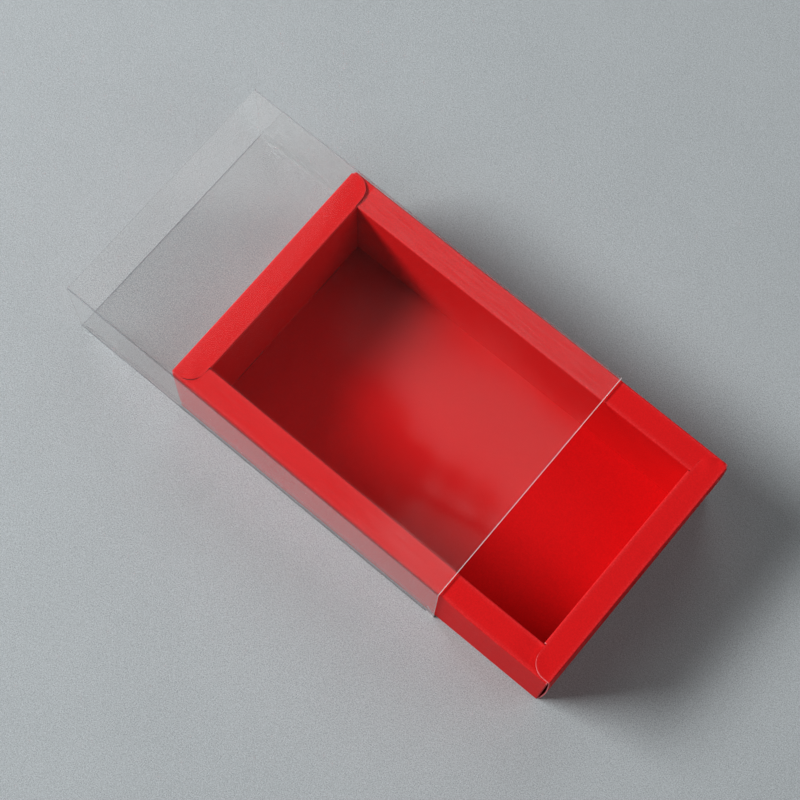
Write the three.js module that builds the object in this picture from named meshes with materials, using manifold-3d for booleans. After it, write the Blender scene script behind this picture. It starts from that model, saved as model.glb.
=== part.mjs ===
// A sliding drawer gift box. The drawer is one sheet of red board, die cut and folded into a tray
// with hollow frame walls. It slides in a sleeve of clear film that is open at both ends.
// Millimetres, +Z up, +X the way the drawer comes out, +Y towards the far long side.
// The origin is the centre of the sleeve's underside.

import * as THREE from 'three';
import { mergeVertices } from 'three/addons/utils/BufferGeometryUtils.js';
import Module from 'manifold-3d';

// Drawer

const drawerLength = 170;
const drawerWidth = 100;
const drawerHeight = 40;
const rimWidth = 10;
const pulledOut = 48;

// Board

const boardThickness = 0.4;
const boardInsideRadius = 0.2;
const foldedEndGap = 0.2;
const cutEdgeInset = 0.25;

// Ears of the short rims, which cover the corners of the frame

const earWidth = 8.75;
const earRadius = 6;

// Corner tabs, folded in from the long outer walls behind the short ones

const tabLength = 34;
const tabTaper = 3;

// Lock tongues on the short inner walls, and their slots in the base

const tongueWidth = 14;
const tongueSpacing = 44;
const slotClearance = 0.2;

// Springback of the front outer wall's free edge at the near corner

const springback = 1.2;
const springbackReach = 16;

// Film sleeve

const filmThickness = 0.3;
const filmInsideRadius = 0.1;
const sleeveOverhang = 0.5;
const sideClearance = 0.6;
const topClearance = 0.3;
const underClearance = 0.2;
const glueFlapHeight = 8;
const glueFlapTaper = 3.5;

// Fineness of the curves

const bendSteps = 4;
const arcSegments = 14;
const springbackColumns = 10;
const springbackRows = 12;

// Every cut runs this far past the faces that it opens, and the parts of one panel run this far
// into each other where they are joined

const cutOverrun = 1;
const lap = 0.5;

// Two neighbouring points closer than this are one point

const samePoint = 0.001;

// Colours

const cardRed = 0xc81e26;
const cardRedInside = 0xb8141c;
const filmTint = 0xe8eef0;

// Values worked out from the sizes above

const halfLength = drawerLength / 2;
const halfWidth = drawerWidth / 2;
const boardBend = boardInsideRadius + boardThickness;
const longSideHeight = drawerHeight - boardThickness;
const shortInnerHalfWidth = halfWidth - rimWidth - foldedEndGap;
const filmBend = filmInsideRadius + filmThickness;
const sleeveHalfLength = halfLength + sleeveOverhang;
const sleeveHalfWidth = halfWidth + sideClearance + filmThickness;
const drawerRest = filmThickness + underClearance;
const sleeveHeight = drawerRest + drawerHeight + topClearance + filmThickness;

const library = await Module();
library.setup();

// Section of a sheet that follows an outside line and turns square corners round a fold.
// Every corner of the line but the first and last is one fold.
function foldedSection(outsideLine, insideRadius, thickness) {
  const outsideRadius = insideRadius + thickness;
  const outside = [];
  const inside = [];
  const last = outsideLine.length - 1;
  for (let corner = 1; corner < last; corner += 1) {
    const before = outsideLine[corner].clone().sub(outsideLine[corner - 1]).normalize();
    const after = outsideLine[corner + 1].clone().sub(outsideLine[corner]).normalize();
    if (corner === 1) {
      outside.push(outsideLine[0]);
      inside.push(outsideLine[0].clone().addScaledVector(after, thickness));
    }
    const centre = outsideLine[corner].clone();
    centre.addScaledVector(before, -outsideRadius).addScaledVector(after, outsideRadius);
    for (let step = 0; step <= bendSteps; step += 1) {
      const angle = (Math.PI / 2) * (step / bendSteps);
      const spoke = after.clone().multiplyScalar(-Math.cos(angle));
      spoke.addScaledVector(before, Math.sin(angle));
      outside.push(centre.clone().addScaledVector(spoke, outsideRadius));
      inside.push(centre.clone().addScaledVector(spoke, insideRadius));
    }
    if (corner === last - 1) {
      outside.push(outsideLine[last]);
      inside.push(outsideLine[last].clone().addScaledVector(before, -thickness));
    }
  }
  const points = [...outside, ...inside.reverse()];
  return new THREE.Shape(points.filter((point, i) => i === 0 || point.distanceTo(points[i - 1]) > samePoint));
}

// A list of coordinate pairs as points
function line(pairs) {
  return pairs.map(([across, up]) => new THREE.Vector2(across, up));
}

function extruded(shape, depth) {
  return new THREE.ExtrudeGeometry(shape, { depth, bevelEnabled: false, curveSegments: arcSegments });
}

// The shape's x and y become Y and Z, and it runs from one X to another
function runAlongX(shape, from, to) {
  const geometry = extruded(shape, to - from);
  const turn = new THREE.Matrix4();
  turn.makeBasis(new THREE.Vector3(0, 1, 0), new THREE.Vector3(0, 0, 1), new THREE.Vector3(1, 0, 0));
  return geometry.applyMatrix4(turn).translate(from, 0, 0);
}

// The shape's x and y become X and Z, and it runs from one Y to another
function runAlongY(shape, from, to) {
  const geometry = extruded(shape, to - from);
  const turn = new THREE.Matrix4();
  turn.makeBasis(new THREE.Vector3(1, 0, 0), new THREE.Vector3(0, 0, 1), new THREE.Vector3(0, -1, 0));
  return geometry.applyMatrix4(turn).translate(0, to, 0);
}

// The shape lies flat, and it runs from one Z to another
function runAlongZ(shape, from, to) {
  return extruded(shape, to - from).translate(0, 0, from);
}

// A flat plate between two corners
function plate(low, high) {
  const size = high.map((value, axis) => value - low[axis]);
  const middle = high.map((value, axis) => (value + low[axis]) / 2);
  return new THREE.BoxGeometry(...size).translate(...middle);
}

function toSolid(geometry) {
  const bare = geometry.clone();
  bare.deleteAttribute('normal');
  bare.deleteAttribute('uv');
  const merged = mergeVertices(bare, samePoint);
  const vertProperties = new Float32Array(merged.attributes.position.array);
  const triVerts = new Uint32Array(merged.index.array);
  return new library.Manifold(new library.Mesh({ numProp: 3, vertProperties, triVerts }));
}

function toGeometry(solid) {
  const mesh = solid.getMesh();
  const geometry = new THREE.BufferGeometry();
  geometry.setAttribute('position', new THREE.BufferAttribute(new Float32Array(mesh.vertProperties), 3));
  geometry.setIndex(new THREE.BufferAttribute(new Uint32Array(mesh.triVerts), 1));
  const faceted = geometry.toNonIndexed();
  faceted.computeVertexNormals();
  return faceted;
}

// One geometry from parts that lap each other
function joined(geometries) {
  return toGeometry(geometries.map(toSolid).reduce((whole, solid) => whole.add(solid)));
}

function cut(geometry, tools) {
  return toGeometry(tools.map(toSolid).reduce((rest, tool) => rest.subtract(tool), toSolid(geometry)));
}

function cardMaterial(color) {
  return new THREE.MeshStandardMaterial({ color, roughness: 0.72, metalness: 0 });
}

function filmMaterial() {
  const look = { color: filmTint, roughness: 0.08, metalness: 0, transparent: true, opacity: 0.25 };
  return new THREE.MeshStandardMaterial(look);
}

function piece(name, geometry, material) {
  const mesh = new THREE.Mesh(geometry, material);
  mesh.name = name;
  return mesh;
}

// Base of the drawer

// What the slot for one lock tongue of a short inner wall takes out of the base
function tongueSlot(end, side) {
  const x = end * (halfLength - rimWidth + boardThickness / 2);
  const y = side * tongueSpacing / 2;
  const halfAcross = boardThickness / 2 + slotClearance;
  const halfAlong = tongueWidth / 2 + slotClearance;
  return plate(
    [x - halfAcross, y - halfAlong, -cutOverrun],
    [x + halfAcross, y + halfAlong, boardThickness + cutOverrun],
  );
}

function basePanel() {
  const x = halfLength - boardBend;
  const y = halfWidth - boardBend;
  const slots = [];
  for (const end of [-1, 1]) {
    for (const side of [-1, 1]) {
      slots.push(tongueSlot(end, side));
    }
  }
  return cut(plate([-x, -y, 0], [x, y, boardThickness]), slots);
}

// Long sides, drawn on the near side. They are folded first: wall up, rim over, inner wall down

// The long outer wall turns up from the base round a fold
function longOuterWall() {
  const section = foldedSection(line([
    [-halfWidth + boardBend, 0],
    [-halfWidth, 0],
    [-halfWidth, longSideHeight - boardBend],
  ]), boardInsideRadius, boardThickness);
  const end = halfLength - boardThickness - boardBend;
  return runAlongX(section, -end, end);
}

// The long rim is folded at both edges and runs on under the ears of the short rims
function longRim() {
  const section = foldedSection(line([
    [-halfWidth, longSideHeight - boardBend],
    [-halfWidth, longSideHeight],
    [-halfWidth + rimWidth, longSideHeight],
    [-halfWidth + rimWidth, longSideHeight - boardBend],
  ]), boardInsideRadius, boardThickness);
  const end = halfLength - boardBend - foldedEndGap;
  return runAlongX(section, -end, end);
}

// The long inner wall stands on the base and ends just clear of the corner tabs
function longInnerWall() {
  const face = -halfWidth + rimWidth;
  const end = halfLength - 2 * boardThickness - foldedEndGap;
  const top = longSideHeight - boardBend;
  return plate([-end, face - boardThickness, boardThickness], [end, face, top]);
}

// A corner tab turns in from the long outer wall and tapers behind the short outer wall
function cornerTab(end) {
  const outer = end * (halfLength - boardThickness);
  const inner = end * (halfLength - 2 * boardThickness);
  const root = -halfWidth + boardBend;
  const tip = -halfWidth + tabLength;
  const low = boardBend;
  const high = longSideHeight - boardBend;
  const fold = foldedSection(line([
    [outer - end * boardBend, -halfWidth],
    [outer, -halfWidth],
    [outer, root + lap],
  ]), boardInsideRadius, boardThickness);
  const flap = new THREE.Shape(line([
    [root, low],
    [tip, low + tabTaper],
    [tip, high - tabTaper],
    [root, high],
  ]));
  return joined([
    runAlongZ(fold, low, high),
    runAlongX(flap, Math.min(outer, inner), Math.max(outer, inner)),
  ]);
}

// Short sides, drawn at the rear. They are folded last, over the long ones

// How far the free edge of the front wall stands out: most at mid height, nothing where it is
// joined to its folds, and fading out along the wall over the springback's reach
function springbackAt(y, z) {
  const edge = halfWidth - cutEdgeInset;
  const nearness = THREE.MathUtils.clamp((y - edge + springbackReach) / springbackReach, 0, 1);
  const low = boardBend + lap;
  const high = drawerHeight - low;
  const height = THREE.MathUtils.clamp((z - low) / (high - low), 0, 1);
  return springback * nearness ** 2 * Math.sin(Math.PI * height);
}

// The wall's flat panel, a unit block whose columns crowd towards the edge that springs back
function shortWallPanel(springs) {
  const edge = halfWidth - cutEdgeInset;
  const free = drawerHeight - 2 * boardBend - 2 * lap;
  const stations = [-edge];
  const levels = [boardBend];
  for (let column = springs ? springbackColumns : 0; column >= 0; column -= 1) {
    stations.push(edge - springbackReach * column / springbackColumns);
  }
  for (let row = 0; springs && row <= springbackRows; row += 1) {
    levels.push(boardBend + lap + free * row / springbackRows);
  }
  levels.push(drawerHeight - boardBend);
  const columns = stations.length - 1;
  const rows = levels.length - 1;
  const panel = new THREE.BoxGeometry(1, 1, 1, 1, columns, rows).translate(1 / 2, 1 / 2, 1 / 2);
  const position = panel.attributes.position;
  for (let i = 0; i < position.count; i += 1) {
    const y = stations[Math.round(position.getY(i) * columns)];
    const z = levels[Math.round(position.getZ(i) * rows)];
    const stand = springs ? springbackAt(y, z) : 0;
    position.setXYZ(i, -halfLength + boardThickness * position.getX(i) - stand, y, z);
  }
  return panel;
}

// The short outer wall turns up from the base and covers the corner tabs
function shortOuterWall(springs) {
  const fold = foldedSection(line([
    [-halfLength + boardBend, 0],
    [-halfLength, 0],
    [-halfLength, boardBend + lap],
  ]), boardInsideRadius, boardThickness);
  const foldEnd = halfWidth - boardBend;
  return joined([shortWallPanel(springs), runAlongY(fold, -foldEnd, foldEnd)]);
}

// Flat of the short rim with its two ears: a rounded outer corner, then an edge that leans out
// to the rim's inner fold
function rimFlat() {
  const outerFold = -halfLength + boardBend;
  const innerFold = -halfLength + rimWidth - boardBend;
  const earEdge = -halfLength + earWidth;
  const tip = halfWidth - cutEdgeInset;
  const flat = new THREE.Shape();
  flat.moveTo(outerFold, -tip);
  flat.lineTo(earEdge - earRadius, -tip);
  flat.absarc(earEdge - earRadius, -tip + earRadius, earRadius, -Math.PI / 2, 0);
  flat.lineTo(innerFold, -shortInnerHalfWidth);
  flat.lineTo(innerFold, shortInnerHalfWidth);
  flat.absarc(earEdge - earRadius, tip - earRadius, earRadius, 0, Math.PI / 2);
  flat.lineTo(outerFold, tip);
  return runAlongZ(flat, drawerHeight - boardThickness, drawerHeight);
}

// The short rim: its outer fold runs out to the ears, its inner fold stops at the long inner walls
function shortRim() {
  const outerFold = foldedSection(line([
    [-halfLength, drawerHeight - boardBend],
    [-halfLength, drawerHeight],
    [-halfLength + boardBend + lap, drawerHeight],
  ]), boardInsideRadius, boardThickness);
  const innerFold = foldedSection(line([
    [-halfLength + rimWidth - boardBend - lap, drawerHeight],
    [-halfLength + rimWidth, drawerHeight],
    [-halfLength + rimWidth, drawerHeight - boardBend],
  ]), boardInsideRadius, boardThickness);
  const tip = halfWidth - cutEdgeInset;
  return joined([
    rimFlat(),
    runAlongY(outerFold, -tip, tip),
    runAlongY(innerFold, -shortInnerHalfWidth, shortInnerHalfWidth),
  ]);
}

// The short inner wall is wedged between the long ones, and its tongues lock into the base
function shortInnerWall() {
  const half = shortInnerHalfWidth;
  const top = drawerHeight - boardBend;
  const outline = new THREE.Shape();
  outline.moveTo(-half, boardThickness);
  for (const side of [-1, 1]) {
    const middle = side * tongueSpacing / 2;
    outline.lineTo(middle - tongueWidth / 2, boardThickness);
    outline.lineTo(middle - tongueWidth / 2, 0);
    outline.lineTo(middle + tongueWidth / 2, 0);
    outline.lineTo(middle + tongueWidth / 2, boardThickness);
  }
  outline.lineTo(half, boardThickness);
  outline.lineTo(half, top);
  outline.lineTo(-half, top);
  const face = -halfLength + rimWidth;
  return runAlongX(outline, face - boardThickness, face);
}

// The drawer has the same sides again after half a turn, apart from the one sprung edge
function drawer() {
  const group = new THREE.Group();
  group.add(piece('drawer_base', basePanel(), cardMaterial(cardRedInside)));
  for (const [side, turn] of [['near', 0], ['far', Math.PI]]) {
    const long = new THREE.Group();
    const ends = side === 'near' ? ['rear', 'front'] : ['front', 'rear'];
    long.add(piece(`${side}_outer_wall`, longOuterWall(), cardMaterial(cardRed)));
    long.add(piece(`${side}_rim`, longRim(), cardMaterial(cardRed)));
    long.add(piece(`${side}_inner_wall`, longInnerWall(), cardMaterial(cardRedInside)));
    long.add(piece(`${side}_${ends[0]}_corner_tab`, cornerTab(-1), cardMaterial(cardRed)));
    long.add(piece(`${side}_${ends[1]}_corner_tab`, cornerTab(1), cardMaterial(cardRed)));
    long.rotation.z = turn;
    group.add(long);
  }
  for (const [end, turn] of [['rear', 0], ['front', Math.PI]]) {
    const short = new THREE.Group();
    short.add(piece(`${end}_outer_wall`, shortOuterWall(end === 'front'), cardMaterial(cardRed)));
    short.add(piece(`${end}_rim`, shortRim(), cardMaterial(cardRed)));
    short.add(piece(`${end}_inner_wall`, shortInnerWall(), cardMaterial(cardRedInside)));
    short.rotation.z = turn;
    group.add(short);
  }
  group.position.set(pulledOut, 0, drawerRest);
  return group;
}

// Sleeve, one sheet of film: glue flap, bottom, far side, top, near side

// The near side hangs from its fold at the top and ends in a cut edge, outside the glue flap
function sleeveNearSide() {
  const section = foldedSection(line([
    [-sleeveHalfWidth, 0],
    [-sleeveHalfWidth, sleeveHeight],
    [-sleeveHalfWidth + filmBend, sleeveHeight],
  ]), filmInsideRadius, filmThickness);
  return runAlongX(section, -sleeveHalfLength, sleeveHalfLength);
}

function sleeveFarSide() {
  const section = foldedSection(line([
    [sleeveHalfWidth - filmBend, 0],
    [sleeveHalfWidth, 0],
    [sleeveHalfWidth, sleeveHeight],
    [sleeveHalfWidth - filmBend, sleeveHeight],
  ]), filmInsideRadius, filmThickness);
  return runAlongX(section, -sleeveHalfLength, sleeveHalfLength);
}

// The glue flap turns up inside the near side, with its ends cut slanting
function sleeveGlueFlap() {
  const outer = -sleeveHalfWidth + filmThickness;
  const fold = foldedSection(line([
    [outer + filmBend, 0],
    [outer, 0],
    [outer, filmBend + lap],
  ]), filmInsideRadius, filmThickness);
  const flap = new THREE.Shape(line([
    [-sleeveHalfLength, filmBend],
    [sleeveHalfLength, filmBend],
    [sleeveHalfLength - glueFlapTaper, glueFlapHeight],
    [-sleeveHalfLength + glueFlapTaper, glueFlapHeight],
  ]));
  return joined([
    runAlongX(fold, -sleeveHalfLength, sleeveHalfLength),
    runAlongY(flap, outer, outer + filmThickness),
  ]);
}

function sleeve() {
  const group = new THREE.Group();
  const top = sleeveHalfWidth - filmBend;
  const flapFold = -sleeveHalfWidth + filmThickness + filmBend;
  const topPanel = plate(
    [-sleeveHalfLength, -top, sleeveHeight - filmThickness],
    [sleeveHalfLength, top, sleeveHeight],
  );
  const bottomPanel = plate([-sleeveHalfLength, flapFold, 0], [sleeveHalfLength, top, filmThickness]);
  group.add(piece('sleeve_top', topPanel, filmMaterial()));
  group.add(piece('sleeve_bottom', bottomPanel, filmMaterial()));
  group.add(piece('sleeve_near_side', sleeveNearSide(), filmMaterial()));
  group.add(piece('sleeve_far_side', sleeveFarSide(), filmMaterial()));
  group.add(piece('sleeve_glue_flap', sleeveGlueFlap(), filmMaterial()));
  return group;
}

const giftBox = new THREE.Group();
giftBox.add(drawer());
giftBox.add(sleeve());

export default giftBox;
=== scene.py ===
"""A gift box: a drawer folded from red card, pulled part of the way out of a clear film sleeve."""

import math

import bpy
import numpy as np
from mathutils import Matrix, Vector


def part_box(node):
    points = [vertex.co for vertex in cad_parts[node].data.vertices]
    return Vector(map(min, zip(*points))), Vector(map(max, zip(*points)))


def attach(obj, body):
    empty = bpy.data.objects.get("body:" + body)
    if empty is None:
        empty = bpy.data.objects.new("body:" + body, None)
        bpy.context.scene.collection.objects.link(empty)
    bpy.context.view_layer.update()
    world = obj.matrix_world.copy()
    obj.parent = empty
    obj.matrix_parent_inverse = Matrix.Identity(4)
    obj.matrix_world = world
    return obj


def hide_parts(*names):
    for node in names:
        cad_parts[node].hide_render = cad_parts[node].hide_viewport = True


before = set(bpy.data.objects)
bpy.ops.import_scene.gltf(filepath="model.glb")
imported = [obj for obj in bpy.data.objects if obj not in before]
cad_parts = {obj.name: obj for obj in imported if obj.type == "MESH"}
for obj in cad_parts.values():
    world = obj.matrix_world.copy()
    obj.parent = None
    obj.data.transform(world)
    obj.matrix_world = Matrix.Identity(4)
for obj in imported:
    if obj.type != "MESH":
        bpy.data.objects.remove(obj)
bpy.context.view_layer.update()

mm = 0.001

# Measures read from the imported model

base_low, base_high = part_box("drawer_base")
rear_low, rear_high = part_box("rear_rim")
tab_low, tab_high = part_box("near_front_corner_tab")
top_low, top_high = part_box("sleeve_top")
flap_low, flap_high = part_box("sleeve_glue_flap")
long_rim_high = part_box("near_rim")[1]

board = base_high.z - base_low.z
fold_radius = rear_high.z - rear_low.z
x_rear = rear_low.x
x_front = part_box("front_rim")[1].x
x_middle = (x_rear + x_front) / 2
y_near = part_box("near_outer_wall")[0].y
y_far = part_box("far_outer_wall")[1].y
z_under = base_low.z
z_floor = base_high.z
z_long = long_rim_high.z
z_top = rear_high.z
half_length = (x_front - x_rear) / 2
half_width = (y_far - y_near) / 2
rim_width = rear_high.x - rear_low.x
tab_length = tab_high.y - tab_low.y
long_end = half_length - board - fold_radius
long_rim_end = long_rim_high.x - x_middle
long_inner_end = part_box("near_inner_wall")[1].x - x_middle
short_inner_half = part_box("rear_inner_wall")[1].y
film = top_high.z - top_low.z
sleeve_half_length = top_high.x
sleeve_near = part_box("sleeve_near_side")[0].y
sleeve_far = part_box("sleeve_far_side")[1].y
z_sleeve = top_high.z

# Shapes that a node's box doesn't give

ear_width = 9.3 * mm
ear_radius = 6.3 * mm
ear_trim = 0.4 * mm
ear_tip = rear_high.y - ear_trim
corner_relief = 0.95 * mm
relief_reach = 2.3 * mm
ear_lift = 0.2 * mm
ear_press = 0.34 * mm
ear_slant = 0.16
slit_middle = 6.8 * mm
slit_reach = 2.5 * mm
slit_angle = 0.85
slit_angle_reach = 0.42
# Past this distance inward, the seam of the front rim's far ear carries painted shade.
seam_dark_from = 8.9 * mm
rim_dip = 0.45 * mm
far_tip_width = 0.36 * mm
far_tip_gap = 1.05 * mm
tab_taper = 3 * mm
tongue_width = 14 * mm
tongue_spacing = 44 * mm
springback = 0.92 * mm
springback_margin = 0.5 * mm
film_fold_radius = 0.4 * mm
film_ease = 0.1 * mm
film_side_ease = 0.12 * mm
film_dent = 0.03 * mm
flap_taper = 3.5 * mm
flap_gap = 0.02 * mm

# How far the drawer's top eases out of true

far_spread = 0.38 * mm
near_spread = 0.42 * mm
front_spread = 0.55 * mm
front_spread_to_far = 0.25 * mm
rear_spread = 0.28 * mm
rear_spread_to_far = 0.2 * mm
side_bow = 0.08 * mm
end_bow = 0.05 * mm
rim_sag = 0.035 * mm

# How fine the meshes are

step = 2.5 * mm
fold_steps = 8
rim_stations = np.array([0.9, 1.5, 2.1]) * mm
ear_arc_stations = 18
ear_slant_stations = 6
lining_stations = 33
tidy_gap = 0.01 * mm
edge_stations = np.array([0, 0.12, 0.25, 0.45, 0.8, 1.3, 2, 2.8, 3.8, 5, 6.5, 8, 10]) * mm
fold_stations = np.array([0.25, 0.6, 1.1, 1.8]) * mm
edge_reach = 0.24 * mm
fold_reach = 0.7 * mm
film_edge_reach = 0.16 * mm
film_fold_reach = 0.15 * mm


# Lines and panels

def unit(vector):
    return vector / np.linalg.norm(vector)


def smooth(value, low, high):
    """0 at low, 1 at high, with a smooth step between them."""
    share = np.clip((value - low) / (high - low), 0, 1)
    return share * share * (3 - 2 * share)


def between(start, end, near_start, near_end):
    """Points on the straight line from start to end, without its ends: some close to the ends that
    touch a fold, the others a step apart."""
    length = float(np.linalg.norm(end - start))
    if length < tidy_gap:
        return np.zeros((0, 2))
    wide = max(int(math.ceil(length / step)), 1)
    marks = [np.arange(1, wide) * length / wide]
    marks.append(fold_stations[fold_stations < length / 2] if near_start else [])
    marks.append(length - fold_stations[fold_stations < length / 2] if near_end else [])
    marks = np.unique(np.concatenate(marks).round(7))
    return start + (end - start) * marks[:, None] / length


def bent_line(corners, radius, reach=fold_reach):
    """The outside line of a sheet that is folded at every corner but the first and last: straight
    runs, and for each corner a quarter circle of the given radius, centre + radius * spoke, whose
    spoke turns from minus the leaving direction to the arriving direction. Gives the points, the
    way out of the sheet at each, and 1 on a fold fading to 0 beside it."""
    corners = np.array(corners, float)
    points, outs, folds = [], [], []
    start = corners[0]
    first = True
    for before, corner, after in zip(corners, corners[1:], corners[2:]):
        arrive, leave = unit(corner - before), unit(after - corner)
        run = between(start, corner - radius * arrive, not first, True)
        if first and np.linalg.norm(corner - radius * arrive - start) > tidy_gap:
            run = np.vstack([start, run])
        points.append(run)
        outs.append(np.repeat(-leave[None], len(run), 0))
        folds.append(np.zeros(len(run)))
        angle = np.linspace(0, math.pi / 2, fold_steps + 1)[:, None]
        spoke = -leave * np.cos(angle) + arrive * np.sin(angle)
        points.append(corner + radius * (leave - arrive + spoke))
        outs.append(spoke)
        folds.append(np.ones(len(spoke)))
        start = corner + radius * leave
        first = False
    if np.linalg.norm(corners[-1] - start) > tidy_gap:
        run = np.vstack([between(start, corners[-1], True, False), corners[-1]])
        points.append(run)
        outs.append(np.repeat(arrive[None], len(run), 0))
        folds.append(np.zeros(len(run)))
    points, outs, folds = np.vstack(points), np.vstack(outs), np.concatenate(folds)
    return points, outs, fold_closeness(points, folds > 0, reach)


def fold_closeness(points, on_fold, reach=fold_reach):
    """1 on a fold, and beside it a bell curve of the distance along the line."""
    gaps = np.linalg.norm(np.diff(points, axis=0), axis=1)
    along = np.concatenate([[0], np.cumsum(gaps)])
    distance = np.abs(along[:, None] - along[on_fold][None]).min(1)
    return np.exp(-((distance / reach) ** 2))


def straight_line(start, end, out):
    """A straight line from start to end, with the way out of the sheet the same all along."""
    start, end = np.array(start, float), np.array(end, float)
    points = np.vstack([start, between(start, end, True, True), end])
    return points, np.repeat(np.array(out, float)[None], len(points), 0), np.zeros(len(points))


def run_between(low, high):
    """Stations from low to high for each row of a panel: close together near both ends, where
    they keep a fixed distance from the end, and about a step apart over the rest."""
    low, high = np.asarray(low, float)[:, None], np.asarray(high, float)[:, None]
    shortest = float((high - low).min())
    ends = edge_stations[edge_stations < shortest * 0.45]
    reach = ends[-1]
    wide = max(int(math.ceil((float((high - low).max()) - 2 * reach) / step)), 2)
    share = np.linspace(0, 1, wide + 1)[None, 1:-1]
    rest = (low + reach) + (high - low - 2 * reach) * share
    stations = np.hstack([low + ends[None], rest, high - ends[None, ::-1]])
    nearest = np.minimum(stations - low, high - stations)
    return stations, nearest


# The board settles a little out of true after folding

def settled(points):
    """Points of the drawer after the board has eased, by amounts that grow with the square of the
    height. The walls bow by a long sine wave and the rims sink by a product of two cosines. The top
    spreads lengthwise in proportion to the distance from the middle, more at the far side than at
    the near one. The long rims' outer edges move out by a smooth step across the rim, the far one
    all along and the near one where it is clear of the sleeve."""
    x, y, z = points[..., 0], points[..., 1], points[..., 2]
    height = np.clip((z - z_floor) / (z_top - z_floor), 0, 1) ** 2
    along = (x - x_middle) / half_length
    across = y / half_width
    free = smooth(x, sleeve_half_length - 2 * mm, sleeve_half_length + 14 * mm)
    wider = np.where(y > 0, far_spread, -near_spread * free) * smooth(np.abs(across), 0.82, 1)
    at_front = front_spread + front_spread_to_far * across
    at_rear = rear_spread + rear_spread_to_far * across
    longer = np.where(along > 0, at_front, at_rear) * along
    move_y = side_bow * np.sin(2.6 * along + 0.7) * across + wider
    move_x = end_bow * np.sin(2.9 * across - 0.5) * along + longer
    move_z = rim_sag * (np.cos(3.7 * along + 1.1) * np.cos(2.2 * across - 0.4) - 1)
    return points + np.stack([move_x * height, move_y * height, move_z * height], -1)


def placed(side, inward, along, up):
    """Side coordinates as places: inward from the side's outer face, along it, and up."""
    if side == "near":
        return np.stack([x_middle + along, y_near + inward, up], -1)
    if side == "far":
        return np.stack([x_middle - along, y_far - inward, up], -1)
    if side == "rear":
        return np.stack([x_rear + inward, -along, up], -1)
    return np.stack([x_front - inward, along, up], -1)


# Meshes

def grid_faces(rows, columns, first):
    """The quads of a grid of points numbered row by row from first."""
    number = first + np.arange(rows * columns).reshape(rows, columns)
    quads = [number[:-1, :-1], number[1:, :-1], number[1:, 1:], number[:-1, 1:]]
    return np.stack(quads, -1).reshape(-1, 4)


def shell(name, outer, inner, fold, edge, cuts, glued=None):
    """A closed sheet from its two faces, each a grid of points, joined along the four borders by
    strips of quads. cuts says which borders (first row, last row, first column, last column) are
    cut edges. Its faces are turned out by the sign of the volume, the sum of a . (b x c) over the
    triangles. Edges are sharp along the borders and across the board at the four corners."""
    rows, columns = outer.shape[:2]
    count = rows * columns
    points = np.vstack([outer.reshape(-1, 3), inner.reshape(-1, 3)])
    number = np.arange(count).reshape(rows, columns)
    faces = [grid_faces(rows, columns, 0), grid_faces(rows, columns, count)[:, ::-1]]
    marks = [np.zeros(2 * len(faces[0]))]
    borders = (number[0], number[-1, ::-1], number[::-1, 0], number[:, -1])
    for border, is_cut in zip(borders, cuts):
        strip = [border[:-1], border[1:], border[1:] + count, border[:-1] + count]
        faces.append(np.stack(strip, -1))
        marks.append(np.full(len(border) - 1, float(is_cut)))
    faces = np.vstack(faces)
    a, b, c, d = (points[faces[:, k]] for k in range(4))
    volume = (a * np.cross(b, c)).sum() + (a * np.cross(c, d)).sum()
    if volume < 0:
        faces = faces[:, ::-1]
    mesh = bpy.data.meshes.new(name)
    mesh.from_pydata(points.tolist(), [], faces.tolist())
    mesh.update(calc_edges=True)
    mesh.polygons.foreach_set("use_smooth", np.ones(len(faces), bool))
    ring = np.zeros((rows, columns), bool)
    ring[[0, -1]] = True
    ring[:, [0, -1]] = True
    corner = np.zeros((rows, columns), bool)
    corner[[0, 0, -1, -1], [0, -1, 0, -1]] = True
    ring, corner = np.tile(ring.ravel(), 2), np.tile(corner.ravel(), 2)
    ends = np.zeros(2 * len(mesh.edges), np.int32)
    mesh.edges.foreach_get("vertices", ends)
    one, other = ends.reshape(-1, 2).T
    same_face = (one < count) == (other < count)
    sharp = ring[one] & ring[other] & (same_face | corner[one])
    mesh.attributes.new("sharp_edge", "BOOLEAN", "EDGE").data.foreach_set("value", sharp)
    cut = np.concatenate(marks)
    values = {"fold": (fold, "POINT"), "edge": (edge, "POINT"), "cut": (cut, "FACE")}
    if glued is not None:
        strips = np.zeros(len(faces) - 2 * glued[0].size)
        values["glued"] = (np.concatenate([glued[0].ravel(), glued[1].ravel(), strips]), "FACE")
    for key, (value, domain) in values.items():
        value = np.tile(value.ravel(), 2) if domain == "POINT" else value
        layer = mesh.attributes.new(key, "FLOAT", domain)
        layer.data.foreach_set("value", value.astype(np.float32))
    piece = bpy.data.objects.new(name, mesh)
    bpy.context.scene.collection.objects.link(piece)
    return piece


def finished(piece, body, slot, finish, *nodes):
    """Gives a piece its material, hides the nodes it stands for and hangs it on the body it rides on.
    """
    piece.data.materials.append(finish)
    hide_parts(*nodes)
    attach(piece, body)


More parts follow.
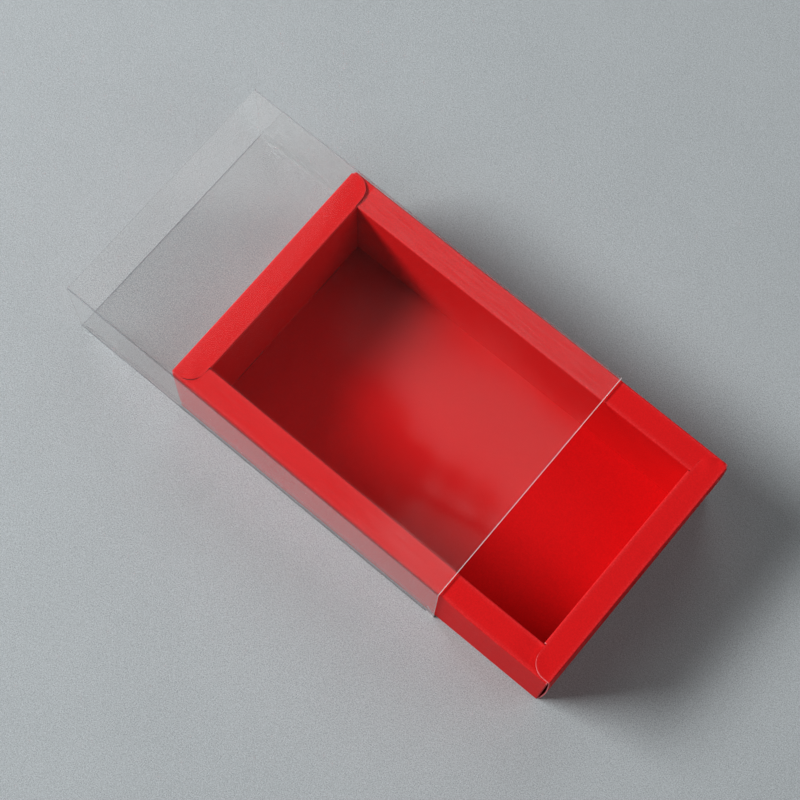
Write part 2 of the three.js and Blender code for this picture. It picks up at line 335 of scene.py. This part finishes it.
def card_panel(name, node, side, line, low, high, cuts, upright=False, change=None, bright=1):
    """A panel of the drawer: a line in the side's section carried along the side from low to
    high, or, if upright, a line in plan carried up. The inner face is a board thickness behind.
    change moves the points of a face, whose depth it is given. bright says how much the two cut ends
    of each row are lightened, paler core and painted highlight, or, below 0, darkened with painted
    shade, as a pair of numbers or grids."""
    points, outs, fold = line
    ones = np.ones(len(points))
    stations, nearest = run_between(low * ones, high * ones)
    faces = []
    for depth in (0, board):
        first, second = ((points - depth * outs).T)[:, :, None] * np.ones_like(stations)
        where = [first, second, stations] if upright else [first, stations, second]
        if change:
            where = change(*where, depth)
        faces.append(settled(placed(side, *where)))
    fold = fold[:, None] * np.ones_like(stations)
    edge = np.exp(-((nearest / edge_reach) ** 2)) * (cuts[2] or cuts[3])
    if not np.isscalar(bright):
        edge = edge * np.where(stations > 0, bright[1], bright[0])
    piece = shell(name, faces[0], faces[1], fold, edge, cuts)
    finished(piece, "drawer", "red_card", card, node)


# Materials

class Socket:
    """One output of a node. Sums and products with numbers or other outputs make Math nodes."""

    def __init__(self, finish, out):
        self.finish, self.out = finish, out

    def maths(self, operation, *values):
        return self.finish.node("ShaderNodeMath", {"operation": operation}, dict(enumerate(values)))

    def __add__(self, other):
        return self.maths("ADD", self, other)

    __radd__ = __add__

    def __mul__(self, other):
        return self.maths("MULTIPLY", self, other)

    __rmul__ = __mul__

    def __sub__(self, other):
        return self.maths("SUBTRACT", self, other)

    def __rsub__(self, other):
        return self.maths("SUBTRACT", other, self)

    def __pow__(self, other):
        return self.maths("POWER", self, other)

    def clipped(self):
        return self.finish.node("ShaderNodeClamp", {}, {"Value": self})

    def smooth(self, low, high):
        """0 at low, 1 at high, with a smooth step between them."""
        values = {"Value": self, "From Min": low, "From Max": high}
        return self.finish.node("ShaderNodeMapRange", {"interpolation_type": "SMOOTHSTEP"}, values)


class Finish:
    """The nodes of one material or of the world."""

    def __init__(self, owner):
        owner.use_nodes = True
        self.tree = owner.node_tree
        self.tree.nodes.clear()

    def node(self, kind, settings=None, values=None, out=0):
        """One output of a new node. Its inputs take numbers, colours or other outputs, and are called
        by their place, name or identifier."""
        made = self.tree.nodes.new(kind)
        for key, value in (settings or {}).items():
            setattr(made, key, value)
        for key, value in (values or {}).items():
            if isinstance(key, int):
                socket = made.inputs[key]
            else:
                socket = [s for s in made.inputs if key in (s.identifier, s.name) and s.enabled][0]
            if isinstance(value, Socket):
                self.tree.links.new(value.out, socket)
            elif hasattr(value, "__len__") and len(value) == 3 and socket.type == "RGBA":
                socket.default_value = (*value, 1)
            else:
                socket.default_value = value
        return Socket(self, made.outputs[out]) if len(made.outputs) else None

    def outputs(self, kind, values, *names):
        """Several outputs of one node."""
        made = self.node(kind, {}, values, names[0]).out.node
        return [Socket(self, made.outputs[name]) for name in names]

    def place(self):
        return self.node("ShaderNodeTexCoord", out="Object")

    def value(self, name):
        return self.node("ShaderNodeAttribute", {"attribute_name": name}, out="Fac")

    def noise(self, place, per_metre, detail=2, roughness=0.5, distortion=0):
        values = {"Vector": place, "Scale": per_metre, "Detail": detail,
                  "Roughness": roughness, "Distortion": distortion}
        return self.node("ShaderNodeTexNoise", {}, values)

    def colour(self, share, first, second):
        values = {"Factor": share, "A_Color": first, "B_Color": second}
        return self.node("ShaderNodeMix", {"data_type": "RGBA"}, values, out=2)

    def mixed(self, share, first, second):
        return self.node("ShaderNodeMixShader", {}, {0: share, 1: first, 2: second})

    def bump(self, height, depth, strength):
        values = {"Height": height, "Distance": depth, "Strength": strength}
        return self.node("ShaderNodeBump", {}, values)

    def surface(self, shader):
        self.node("ShaderNodeOutputMaterial", {}, {"Surface": shader})


def card_finish(name, body, worn_and_highlight, cut):
    """Dyed card: fine grain, faint cloudiness of the dye, lighter on folds (rubbed wear and a painted
    highlight) and beside cut edges (paler core and a painted highlight), painted shade where an edge is
    below 0, paler on the cut edge, with a few specks of dust."""
    material = bpy.data.materials.new(name)
    f = Finish(material)
    place = f.place()
    grain = f.noise(place, 4200, 3, 0.6)
    fibres = f.noise(place, 1700, 2, 0.6, 0.3)
    clouds = f.noise(place, 260, 3, 0.6)
    broad = f.noise(place, 34, 2)
    tone = (clouds - 0.5) * 0.12 + (broad - 0.5) * 0.12 + (fibres - 0.5) * 1.7
    deep = tuple(0.86 * part for part in body)
    light = tuple(1.10 * part for part in body)
    colour = f.colour((tone + 0.55).clipped(), deep, light)
    rub_and_highlight = fibres.smooth(0.42, 0.72) * 0.6 + 0.25
    # Folds lighter: rubbed wear with a painted highlight.
    colour = f.colour((f.value("fold") * rub_and_highlight * 0.42).clipped(), colour, worn_and_highlight)
    # Beside cut edges: the paler core of the board and a painted highlight, strength set by bright.
    colour = f.colour((f.value("edge") * (rub_and_highlight + 0.30)).clipped(), colour, cut)
    # Painted shade beside an edge whose bright is below 0: the slit of one ear and the seam of another.
    shadow = tuple(0.12 * part for part in body)
    colour = f.colour((f.value("edge") * -1.6).clipped(), colour, shadow)
    colour = f.colour(f.value("cut") * (fibres * 0.35 + 0.55), colour, cut)
    cells = {"Vector": place, "Scale": 95}
    distance, chance = f.outputs("ShaderNodeTexVoronoi", cells, "Distance", "Color")
    chance = f.node("ShaderNodeSeparateColor", {}, {0: chance})
    specks = (1 - distance.smooth(0.008, 0.016)) * chance.smooth(0.80, 0.82)
    colour = f.colour(specks * 0.55, colour, dust)
    height = grain * 0.5 + fibres * 0.7 + clouds * 0.4
    values = {
        "Base Color": colour,
        "Roughness": 0.60 + (clouds - 0.5) * 0.16 + f.value("fold") * 0.04,
        "Specular IOR Level": 0.08,
        "Normal": f.bump(height, 0.045 * mm, 0.9),
    }
    f.surface(f.node("ShaderNodeBsdfPrincipled", {}, values))
    return material


def film_finish(name):
    """Clear film, faintly warm. Each face mirrors 1.8% straight on and more when seen slanting,
    0.018 + 1.1 * facing to the fifth, or on the near side 0.018 + 0.44 * facing cubed, and lets the
    rest through. The creases are duller and carry painted shade, a darker see-through colour. The cut
    edge is bright at the front and carries painted shade at the rear and low down. Painted shade also
    dims the bottom sheet, and a painted contact shadow darkens the foot of the sides beside the drawer.
    The film is rubbed where the drawer's rims touch it."""
    material = bpy.data.materials.new(name)
    f = Finish(material)
    place = f.place()
    x, y, z = f.outputs("ShaderNodeSeparateXYZ", {0: place}, "X", "Y", "Z")
    outside = y.maths("ABSOLUTE", y)
    fold, edge = f.value("fold"), f.value("edge")
    at_front = x.smooth(sleeve_half_length - 3.9 * mm, sleeve_half_length - 3.1 * mm)
    low = 1 - z.smooth(0.4 * mm, 1 * mm)
    near_top = (1 - y.smooth(-1 * mm, 1 * mm)) * z.smooth(z_sleeve - 3.1 * mm, z_sleeve - 1.1 * mm)
    # Painted contact shadow at the very foot of the sides, beside the drawer.
    under = outside.smooth(sleeve_far - 0.7 * mm, sleeve_far - 0.5 * mm)
    under = under * x.smooth(x_rear - 1 * mm, x_rear + 1 * mm) * (1 - z.smooth(0.08 * mm, 0.3 * mm))
    # Painted shade: creases, the rear and low cut edges and the bottom sheet pass less light.
    shade = fold * (0.32 - low * 0.32 + near_top * 0.33) + under * 0.65
    shade = shade + low * (1 - fold) * 0.09
    shade = shade + edge * (1 - at_front) * (0.05 + low * 0.42)
    clear = f.node("ShaderNodeBsdfTransparent", {}, {"Color": film_tint})
    dark = f.node("ShaderNodeBsdfTransparent", {}, {"Color": film_dark})
    clear = f.mixed(shade.clipped(), clear, dark)

    bump = f.bump(f.noise(place, 55, 2), 0.03 * mm, 0.6)
    shine = {"Color": (1, 1, 1), "Roughness": 0.05 + fold * 0.33, "Normal": bump}
    gloss = f.node("ShaderNodeBsdfAnisotropic", {}, shine)
    facing = f.node("ShaderNodeLayerWeight", {}, {"Blend": 0.5}, out="Facing")
    steep = 0.018 + facing ** 5 * 1.1
    gentle = 0.018 + facing ** 3 * 0.44
    near_side = 1 - y.smooth(sleeve_near + 1 * mm, sleeve_near + 1.3 * mm)
    mirror = (steep + (gentle - steep) * near_side).clipped() * (1 - f.value("glued"))
    glass = f.mixed(mirror, clear, gloss)

    white = {"Base Color": film_haze, "Roughness": 0.35, "Normal": bump}
    hazy = f.node("ShaderNodeBsdfPrincipled", {}, white)
    smears = f.noise(place, 420, 3, 0.6).smooth(0.45, 0.8)
    strokes = f.node("ShaderNodeMapping", {}, {"Vector": place, "Scale": (0.06, 1, 1)})
    strokes = f.noise(strokes, 1500, 2, 0.6).smooth(0.3, 0.75)
    rim_inside = half_width - rim_width
    over_long = outside.smooth(rim_inside - 0.8 * mm, rim_inside + 0.6 * mm)
    over_rear = x.smooth(x_rear - 1.2 * mm, x_rear - 0.2 * mm)
    over_rear = over_rear * (1 - x.smooth(x_rear + 9.2 * mm, x_rear + 10.2 * mm))
    front_part, far_half = x.smooth(30 * mm, 65 * mm), y.smooth(0, 1 * mm)
    more = front_part.maths("MAXIMUM", front_part, far_half)
    rubbed = over_long * (1 - over_rear) * (0.40 + more * 0.60) + over_rear * 0.22
    rubbed = rubbed * z.smooth(z_sleeve - 2.1 * mm, z_sleeve - 0.9 * mm)
    haze = 0.001 + smears * 0.002 + rubbed * (0.014 + strokes * 0.018)
    haze = haze + edge * (at_front * 0.85 + 0.02)
    haze = haze + fold * 0.018 + f.value("cut") * (at_front * 0.45 + 0.08)
    f.surface(f.mixed(haze.clipped(), glass, hazy))
    return material


def paper_finish(name, colour):
    """The sheet of pale grey paper that the box lies on, with a fine tooth."""
    material = bpy.data.materials.new(name)
    f = Finish(material)
    place = f.place()
    tooth = f.noise(place, 2600, 1, 0.6)
    clouds = f.noise(place, 22, 2)
    tone = 0.5 + (clouds - 0.5) * 0.10 + (tooth - 0.5) * 1.7
    deep = tuple(0.62 * part for part in colour)
    light = tuple(1.38 * part for part in colour)
    shade = f.colour(tone.clipped(), deep, light)
    values = {"Base Color": shade, "Roughness": 0.9, "Specular IOR Level": 0.2,
              "Normal": f.bump(tooth, 0.16 * mm, 0.9)}
    f.surface(f.node("ShaderNodeBsdfPrincipled", {}, values))
    return material


card_red = (0.662, 0.0075, 0.0090)
# The drawer's floor takes a darker copy of the same red card: painted shade.
card_red_floor = (0.600, 0.0035, 0.0050)
# Fold colour: rubbed card with a painted highlight.
card_worn_and_highlight = (0.76, 0.060, 0.065)
card_cut = (0.80, 0.20, 0.215)
dust = (0.75, 0.55, 0.55)
film_tint = (0.999, 0.9965, 0.994)
# See-through colour of the film's painted shade.
film_dark = (0.62, 0.62, 0.64)
film_haze = (0.80, 0.78, 0.80)
card = card_finish("red_card", card_red, card_worn_and_highlight, card_cut)
card_floor = card_finish("red_card_floor", card_red_floor, card_worn_and_highlight, card_cut)
clear_film = film_finish("clear_film")


# Drawer, long sides: outer wall up, rim over, inner wall down, and a tab at each end

no_cuts = (False, False, False, False)
end_cuts = (False, False, True, True)
all_cuts = (True, True, True, True)


def tab_loss(inward):
    """How much of its height a corner tab has lost at each edge, this far from the outer wall."""
    return np.clip((inward - fold_radius) / (tab_length - fold_radius), 0, 1) * tab_taper


def dipped(inward, along, up, depth):
    """The end of a long rim that lies under a proud ear dips, by a smooth step along the side. Its
    two folds stay up."""
    sunk = smooth(along, long_rim_end - 18 * mm, long_rim_end - 9 * mm)
    sunk = sunk * smooth(inward, 0.8 * mm, 3 * mm) * smooth(rim_width - inward, 0, 2 * mm)
    return inward, along, up - rim_dip * sunk


for side in ("near", "far"):
    wall = bent_line([(fold_radius, z_under), (0, z_under), (0, z_long - fold_radius)], fold_radius)
    card_panel(f"{side}_side_wall", f"{side}_outer_wall", side, wall, -long_end, long_end, no_cuts)
    rim = bent_line([(0, z_long - fold_radius), (0, z_long), (rim_width, z_long),
                     (rim_width, z_long - fold_radius)], fold_radius)
    is_tip = (rim[0][:, 0] < far_tip_width) & (side == "far")
    reach = np.where(is_tip, half_length - far_tip_gap, long_rim_end)
    card_panel(f"{side}_side_rim", f"{side}_rim", side, rim, -reach, reach, end_cuts, change=dipped)
    inner = straight_line((rim_width, z_long - fold_radius), (rim_width, z_floor), (1, 0))
    card_panel(f"{side}_side_lining", f"{side}_inner_wall", side, inner,
               -long_inner_end, long_inner_end, (False, True, True, True))
    for end, where in ((-1, "rear"), (1, "front")) if side == "near" else ((-1, "front"), (1, "rear")):
        outer = end * (half_length - board)
        corners = [(0, outer - end * fold_radius), (0, outer), (tab_length, outer)]
        tab = bent_line(corners, fold_radius)
        lost = tab_loss(tab[0][:, 0])
        card_panel(f"{side}_{where}_tab", f"{side}_{where}_corner_tab", side, tab,
                   z_under + fold_radius + lost, z_long - fold_radius - lost,
                   (False, True, True, True), upright=True)


# Drawer, short sides: outer wall up, rim with its two ears over, inner wall down with its tongues

arc_start = ear_width - ear_radius
arc_middle = ear_tip - ear_radius


def ear_limit(inward):
    """How far the short rim reaches at this distance from its outer face: to the ear's tip, then
    round the ear's corner, a quarter circle, then slanting in to the inner fold."""
    off = np.clip(inward - arc_start, 0, ear_radius)
    rounded = arc_middle + np.sqrt(ear_radius ** 2 - off ** 2)
    slant = np.clip((inward - ear_width) / (rim_width - fold_radius - ear_width), 0, 1)
    slanted = arc_middle + slant * (short_inner_half - arc_middle)
    return np.where(inward > ear_width, slanted, rounded)


def rim_line():
    """The short rim's section, with its stations on the flat crowded to the end of the ear's arc."""
    points, outs, fold = bent_line([(0, z_top - fold_radius), (0, z_top), (rim_width, z_top),
                                    (rim_width, z_top - fold_radius)], fold_radius)
    flat = (points[:, 0] > fold_radius + tidy_gap) & (points[:, 0] < rim_width - fold_radius - tidy_gap)
    angle = np.linspace(0, math.pi / 2, ear_arc_stations)
    arc = arc_start + ear_radius * np.sin(angle)
    slant = np.linspace(ear_width, rim_width - fold_radius, ear_slant_stations)[1:-1]
    across = np.concatenate([rim_stations, arc, slant])
    first = int(np.argmax(flat))
    last = len(flat) - int(np.argmax(flat[::-1]))
    crowded = np.stack([across, np.full(len(across), z_top)], -1)
    points = np.vstack([points[:first], crowded, points[last:]])
    outs = np.vstack([outs[:first], np.repeat([[0.0, 1.0]], len(across), 0), outs[last:]])
    no_fold = np.zeros(len(across), bool)
    on_fold = np.concatenate([fold[:first] > 0.99, no_fold, fold[last:] > 0.99])
    return points, outs, fold_closeness(points, on_fold)


def pressed(inward, along, up, depth):
    """One ear of a side lies flush: its top sinks towards its outline by a smooth step over 5 mm,
    except round the middle of the corner, where a slit stays open. The other ear stands a little
    proud: it rises towards its outline by a smooth step over 4 mm."""
    past_start = np.maximum(inward - arc_start, 0)
    proud = ear_radius - np.hypot(past_start, np.maximum(-along - arc_middle, 0))
    rise = (1 - smooth(proud, 0, 4 * mm)) * smooth(-along, arc_middle - 2 * mm, ear_tip - 3 * mm)
    up = up + ear_lift * rise * smooth(inward, 1.5 * mm, 5 * mm)
    if depth:
        return inward, along, up
    past_middle = np.maximum(along - arc_middle, 0)
    rounded = ear_radius - np.hypot(past_start, past_middle)
    slanted = ear_width - inward + (arc_middle - along) * ear_slant
    distance = np.where(along > arc_middle, rounded, slanted)
    angle = np.arctan2(past_middle, np.maximum(inward - arc_start, 1e-6))
    slit = np.exp(-(((angle - slit_angle) / slit_angle_reach) ** 4))
    sunk = (1 - smooth(distance, 0, 5 * mm)) * smooth(along, short_inner_half, arc_middle)
    sunk = sunk * smooth(inward, 1.2 * mm, 4.5 * mm) * (1 - 0.8 * slit)
    return inward, along, up - ear_press * sunk


def sprung(inward, along, up, depth):
    """The front wall stands out by the springback times the sine of the height, from 0 at its
    folds to 1 half way up."""
    low = z_under + fold_radius + springback_margin
    high = z_top - fold_radius - springback_margin
    height = np.clip((up - low) / (high - low), 0, 1)
    return inward - springback * np.sin(math.pi * height), along, up


def relief(distance):
    """How far the end of a sheet is cut back at this distance from an outer corner: a straight slant,
    from the whole relief at the corner to nothing at its reach."""
    return corner_relief * np.clip(1 - distance / relief_reach, 0, 1)


def lining_low(along):
    """The lower edge of a short inner wall: on the base, and through it at the two tongues."""
    on_tongue = np.abs(np.abs(along) - tongue_spacing / 2) < tongue_width / 2
    return np.where(on_tongue, z_under, z_floor)


for side in ("rear", "front"):
    wall = bent_line([(fold_radius, z_under), (0, z_under), (0, z_top - fold_radius)], fold_radius)
    reach = np.where(wall[0][:, 0] > tidy_gap, half_width - fold_radius, ear_tip)
    cut_back = relief(z_top - fold_radius - wall[0][:, 1])
    low, high = (-reach + cut_back, reach) if side == "rear" else (-reach, reach - cut_back)
    card_panel(f"{side}_end_wall", f"{side}_outer_wall", side, wall, low, high, end_cuts,
               change=sprung if side == "front" else None)
    line = rim_line()
    inward, up = line[0].T
    below_flat = np.where(inward < ear_width, ear_tip, short_inner_half)
    limit = np.where(up < z_top - tidy_gap, below_flat, ear_limit(inward))
    cut_back = np.where(inward < ear_width, relief(inward), 0)
    low, high = (-limit + cut_back, limit) if side == "rear" else (-limit, limit - cut_back)
    inward = inward[:, None]
    # Ears: the rear rim's far ear gets a faint painted highlight and its near ear painted shade in its
    # slit; the front rim's near ear a bright painted highlight on its edge, its far ear painted shade
    # along its seam near the inner corner.
    slit = np.exp(-(((inward - slit_middle) / slit_reach) ** 6)) * (inward > fold_radius)
    bright = (0.3, -slit) if side == "rear" else (1.3, -0.8 * (inward > seam_dark_from))
    card_panel(f"{side}_end_rim", f"{side}_rim", side, line, low, high, end_cuts, change=pressed,
               bright=bright)
    marks = [tongue * tongue_spacing / 2 + end * tongue_width / 2 + beside * tidy_gap
             for tongue in (-1, 1) for end in (-1, 1) for beside in (-1, 1)]
    spread = np.linspace(-short_inner_half, short_inner_half, lining_stations)
    marks = np.unique(np.concatenate([marks, spread]))
    points = np.stack([np.full(len(marks), rim_width), marks], -1)
    outs = np.repeat([[1.0, 0.0]], len(marks), 0)
    lining = (points, outs, np.zeros(len(marks)))
    card_panel(f"{side}_end_lining", f"{side}_inner_wall", side, lining, lining_low(marks),
               z_top - fold_radius, (True, True, True, False), upright=True)

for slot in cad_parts["drawer_base"].material_slots:
    slot.material = card_floor


# Sleeve, one sheet of film: glue flap, bottom, far side, top, near side

def sleeve_sheet():
    """One sheet of film carried along X. Its line starts at the free edge of the glue flap and
    goes once round and down over the flap. Each flat eases inwards by a sum of slow sine waves,
    held to nothing at its folds. The top has shallow dents near the front too, a product of two
    sines under a bell curve."""
    flap_y = flap_low.y + flap_gap
    corners = [(flap_y, flap_high.z), (flap_y, 0), (sleeve_far, 0), (sleeve_far, z_sleeve),
               (sleeve_near, z_sleeve), (sleeve_near, 0)]
    points, outs, fold = bent_line(corners, film_fold_radius, film_fold_reach)
    on_flap = (points[:, 0] < flap_y + tidy_gap) & (np.arange(len(points)) < len(points) // 4)
    limit = sleeve_half_length - np.where(on_flap, points[:, 1] / flap_high.z * flap_taper, 0)
    x, nearest = run_between(-limit, limit)
    y, z = points[:, :1], points[:, 1:]
    held = np.clip(1 - (y / (sleeve_far - film_fold_radius)) ** 2, 0, 1)
    tall = np.clip(1 - ((z - z_sleeve / 2) / (z_sleeve / 2 - film_fold_radius)) ** 2, 0, 1)
    on_top = z > z_sleeve - tidy_gap
    on_bottom = z < tidy_gap
    on_side = (y > sleeve_far - tidy_gap) | (y < sleeve_near + tidy_gap)
    wave = 0.5 + 0.25 * np.sin(128 * x + 70 * y + 0.6) + 0.25 * np.sin(61 * x - 96 * y + 2.1)
    slow = 0.5 + 0.5 * np.sin(47 * x + 1.9)
    dents = np.sin(190 * x + 230 * y + 0.4) * np.sin(260 * x - 120 * y + 2.0)
    dents = dents * np.exp(-(((y + 27 * mm) / (15 * mm)) ** 2)) * smooth(x, 0, 45 * mm)
    sink = np.where(on_top | on_bottom, film_ease * wave * held ** 0.5, 0)
    sink = sink + np.where(on_top, film_dent * dents * held, 0)
    sink = sink + np.where(on_side, film_side_ease * (0.6 * slow + 0.4 * wave) * tall, 0)
    faces = []
    for depth in (0, film):
        moved = points[:, None] - (depth + sink)[..., None] * outs[:, None]
        faces.append(np.stack([x, moved[..., 0], moved[..., 1]], -1))
    gaps = np.linalg.norm(np.diff(points, axis=0), axis=1)
    along = np.concatenate([[0], np.cumsum(gaps)])[:, None]
    nearest = np.minimum(nearest, np.minimum(along, along[-1] - along))
    edge = np.exp(-((nearest / film_edge_reach) ** 2))
    middle_y, middle_z = (y[1:] + y[:-1]) / 2, (z[1:] + z[:-1]) / 2
    middle_x = (x[1:, 1:] + x[:-1, :-1]) / 2
    first_half = np.arange(len(middle_y))[:, None] < len(middle_y) / 2
    in_flap = np.abs(middle_x) < sleeve_half_length - middle_z / flap_high.z * flap_taper
    low = (middle_z > film_fold_radius) & (middle_z < flap_high.z) & in_flap
    glued = (low & first_half & (middle_y < flap_y + tidy_gap),
             low & ~first_half & (middle_y < sleeve_near + tidy_gap))
    fold = fold[:, None] * np.ones_like(x)
    return shell("sleeve_film", faces[0], faces[1], fold, edge, all_cuts, glued)


finished(sleeve_sheet(), "sleeve", "clear_film", clear_film,
         "sleeve_top", "sleeve_bottom", "sleeve_near_side", "sleeve_far_side", "sleeve_glue_flap")


# Floor

paper = (0.391, 0.424, 0.440)
floor_half = 4.0
floor_drop = 0.05 * mm
floor_lines = 9
edge_marks = np.linspace(-floor_half, floor_half, floor_lines)
floor_x, floor_y = np.meshgrid(edge_marks, edge_marks, indexing="ij")
floor_points = np.stack([floor_x, floor_y, np.full_like(floor_x, -floor_drop)], -1).reshape(-1, 3)
floor_mesh = bpy.data.meshes.new("paper_floor")
floor_mesh.from_pydata(floor_points.tolist(), [], grid_faces(floor_lines, floor_lines, 0).tolist())
floor = bpy.data.objects.new("paper_floor", floor_mesh)
bpy.context.scene.collection.objects.link(floor)
floor_mesh.materials.append(paper_finish("grey_paper", paper))


# Light: a large soft lamp to the left, two weaker ones, and a dim room with bright patches overhead

def lamp(name, azimuth, elevation, distance, wide, high, share):
    """A soft rectangular lamp that faces the box from the given direction, and lights the floor
    under the box to the given share of white."""
    azimuth, elevation = math.radians(azimuth), math.radians(elevation)
    way = Vector((math.cos(azimuth) * math.cos(elevation), math.sin(azimuth) * math.cos(elevation),
                  math.sin(elevation)))
    data = bpy.data.lights.new(name, "AREA")
    data.shape, data.size, data.size_y = "RECTANGLE", wide, high
    data.energy = share * math.pi ** 2 * distance ** 2 / math.sin(elevation)
    made = bpy.data.objects.new(name, data)
    made.matrix_world = Matrix.Translation(Vector((x_middle, 0, z_top / 2)) + way * distance) \
        @ way.to_track_quat("Z", "Y").to_matrix().to_4x4()
    bpy.context.scene.collection.objects.link(made)


lamp("key_light", azimuth=211, elevation=38, distance=2.0, wide=1.15, high=0.55, share=0.805)
lamp("second_light", azimuth=38, elevation=47, distance=1.5, wide=0.9, high=1.0, share=0.150)
lamp("third_light", azimuth=120, elevation=47, distance=1.5, wide=0.65, high=0.65, share=0.093)

world = bpy.data.worlds.new("room")
bpy.context.scene.world = world
w = Finish(world)
way = w.node("ShaderNodeTexCoord", out="Generated")
east, north, up = w.outputs("ShaderNodeSeparateXYZ", {0: way}, "X", "Y", "Z")
west = 0 - east


def patch(middle_west, middle_north, reach_west, reach_north):
    """A soft oval patch of the ceiling: 1 inside, 0 outside, half way at the given reaches."""
    off_west = (west - middle_west) * (1 / reach_west)
    off_north = (north - middle_north) * (1 / reach_north)
    return 1 - (off_west ** 2 + off_north ** 2).smooth(0.45, 1.55)


# Light of the room, and the ceiling's patches: middle west and north, reach west and north, light

room_light = 0.010
horizon_light = 0.42
horizon_colour = (0.93, 0.98, 1.0)
ceiling_light = 0.06
patches = (
    (0.09, 0.25, 0.1, 0.03, 0.95),
    (0.09, 0.186, 0.04, 0.022, 0.5),
    (0.355, 0.292, 0.088, 0.062, 1.2),
    (0.2555, 0.24, 0.006, 0.09, 0.5),
)
rays = ("Is Camera Ray", "Is Glossy Ray", "Is Transmission Ray")
looking, glossy, passing = w.outputs("ShaderNodeLightPath", {}, *rays)
seen = (looking + glossy + passing).clipped()
ceiling = ceiling_light
for *where, light in patches:
    ceiling = ceiling + patch(*where) * light
horizon = 1 - up.smooth(0.05, 0.75)
level = room_light + seen * (ceiling * up.smooth(0.80, 0.86) + horizon * horizon_light)
room = w.colour(seen * horizon, (1, 1, 1), horizon_colour)
background = w.node("ShaderNodeBackground", {}, {"Color": room, "Strength": level})
w.node("ShaderNodeOutputWorld", {}, {"Surface": background})


# Camera, from a fit to the corners of the box in the photograph

eye = Vector((142.9957, -164.2752, 699.2187)) * mm
target = Vector((30.943, -5.798, 40.5)) * mm
roll = math.radians(4.842)
ahead = (target - eye).normalized()
level_right = ahead.cross(Vector((0, 0, 1))).normalized()
level_up = level_right.cross(ahead)
right = level_right * math.cos(roll) + level_up * math.sin(roll)
upward = level_up * math.cos(roll) - level_right * math.sin(roll)
camera_data = bpy.data.cameras.new("camera")
camera_data.lens = 88.212
camera_data.sensor_width = 36
camera_data.clip_start = 10 * mm
camera = bpy.data.objects.new("camera", camera_data)
turn = Matrix((right, upward, -ahead)).transposed()
camera.matrix_world = Matrix.Translation(eye) @ turn.to_4x4()
bpy.context.scene.collection.objects.link(camera)
bpy.context.scene.camera = camera

bpy.context.scene.view_settings.view_transform = "Standard"
bpy.context.scene.cycles.transparent_max_bounces = 32
bpy.context.scene.cycles.blur_glossy = 0
